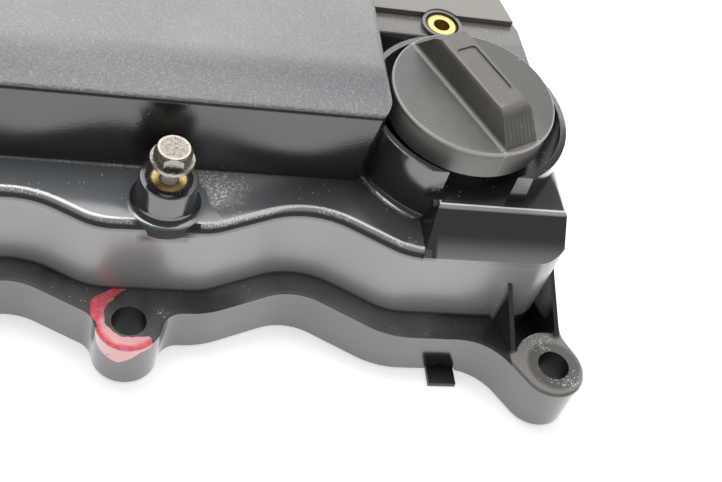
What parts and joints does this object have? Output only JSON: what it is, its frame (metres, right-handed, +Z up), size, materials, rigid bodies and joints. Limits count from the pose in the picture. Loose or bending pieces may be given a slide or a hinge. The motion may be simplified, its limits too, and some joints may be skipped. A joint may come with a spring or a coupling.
{
  "type": "engine valve cover",
  "caption": "Moulded cover for a cylinder head, with a wavy bolting flange, gasket, plug wells and a raised filler tower closed by a twist-off oil cap",
  "frame": {"origin": "centre of the bounding box at the plane on which the gasket lies", "axes": "+X along the engine towards the filler end, +Y towards the rear side with the vent valve, +Z up out of the engine"},
  "size_m": [0.4432, 0.2356, 0.09],
  "materials": {
    "black_nylon": "glossy glass-filled nylon, moulded",
    "gasket_rubber": "matt moulded rubber",
    "cap_nylon": "satin moulded nylon",
    "seal_rubber": "matt moulded rubber",
    "insert_brass": "turned and knurled",
    "bolt_steel": "dull plated steel",
    "baffle_nylon": "plain moulded nylon",
    "screw_steel": "zinc plated",
    "valve_nylon": "plain moulded nylon"
  },
  "bodies": {
    "cover": {"cover_shell": "black_nylon", "perimeter_gasket": "gasket_rubber", "front_boss_insert": "insert_brass", "rear_boss_insert": "insert_brass", "bracket_bolt": "bolt_steel", "coil_inserts": "insert_brass", "plug_well_seal_1": "seal_rubber", "plug_well_seal_2": "seal_rubber", "plug_well_seal_3": "seal_rubber", "plug_well_seal_4": "seal_rubber", "separator_baffle": "baffle_nylon", "baffle_screws": "screw_steel", "crankcase_vent_valve": "valve_nylon", "vent_valve_seal": "seal_rubber"},
    "cap_seal": {"filler_cap_seal": "seal_rubber"},
    "cap": {"oil_filler_cap": "cap_nylon"}
  },
  "joints": [
    {"name": "cap_lift", "type": "slide", "parent": "cover", "child": "cap_seal", "axis": [0, 0, 1], "range_m": [0, 0.03]},
    {"name": "cap_turn", "type": "hinge", "parent": "cap_seal", "child": "cap", "pos_m": [0.1643, -0.0401, 0.08], "axis": [0, 0, 1], "range_deg": [0, 90]}
  ]
}
